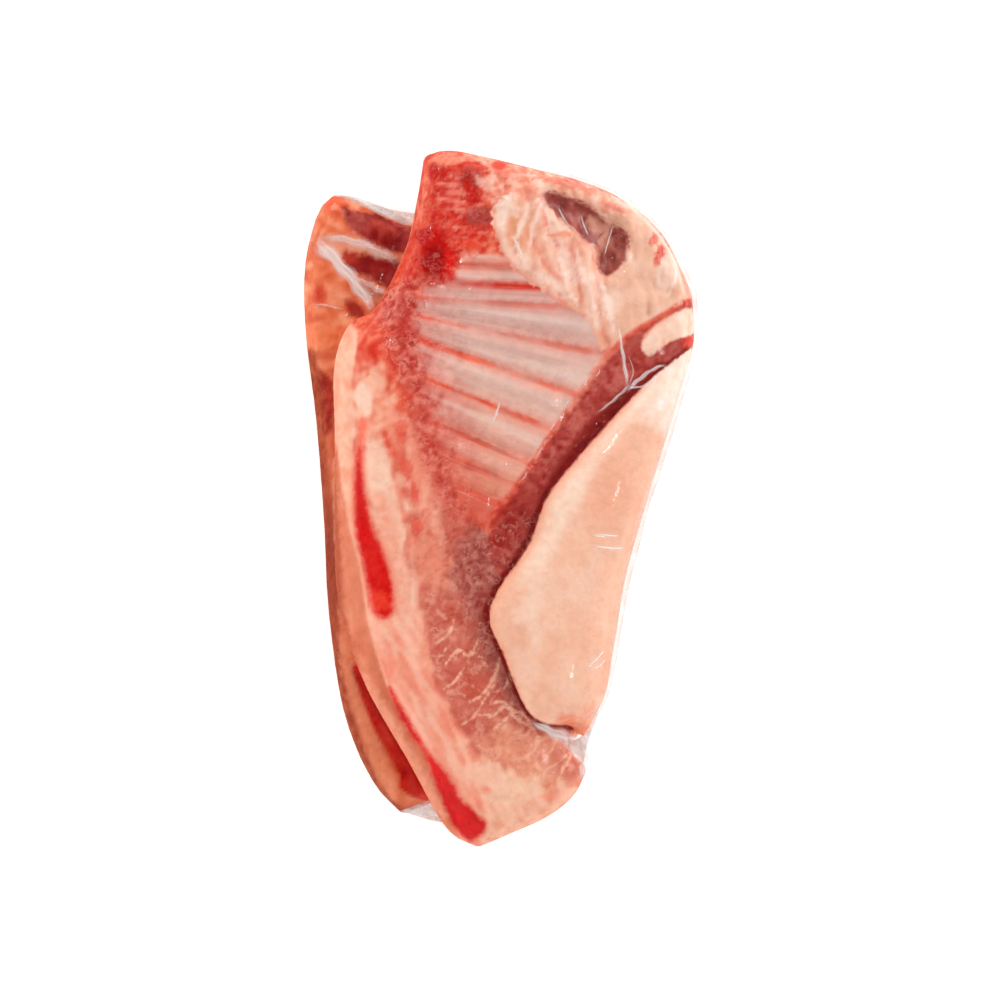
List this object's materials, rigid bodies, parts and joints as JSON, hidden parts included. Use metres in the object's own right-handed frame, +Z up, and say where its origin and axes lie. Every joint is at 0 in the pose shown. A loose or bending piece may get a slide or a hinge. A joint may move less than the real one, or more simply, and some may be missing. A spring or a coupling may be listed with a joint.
{
  "type": "sealed pack of raw skin-on pork ribs",
  "caption": "Raw skin-on pork rib slabs, one on the other in tight clear film, rib side up, with the thin belly edge folded over.",
  "frame": {"origin": "centre of the pack's bounding box on the surface that it lies on", "axes": "+Y along the slabs from tail to head, +X to the right of the rib side seen from above, +Z up"},
  "size_m": [0.3042, 0.543, 0.0957],
  "materials": {
    "front_meat": "raw meat, bone and pale fat, wet under film",
    "back_meat": "raw meat and skin, wet under film",
    "film": "clear glossy shrink film"
  },
  "bodies": {
    "root": {"front_slab": "front_meat", "back_slab": "back_meat", "film_web_top": "film", "film_web_bottom": "film", "film_web_flap": "film"}
  },
  "joints": []
}
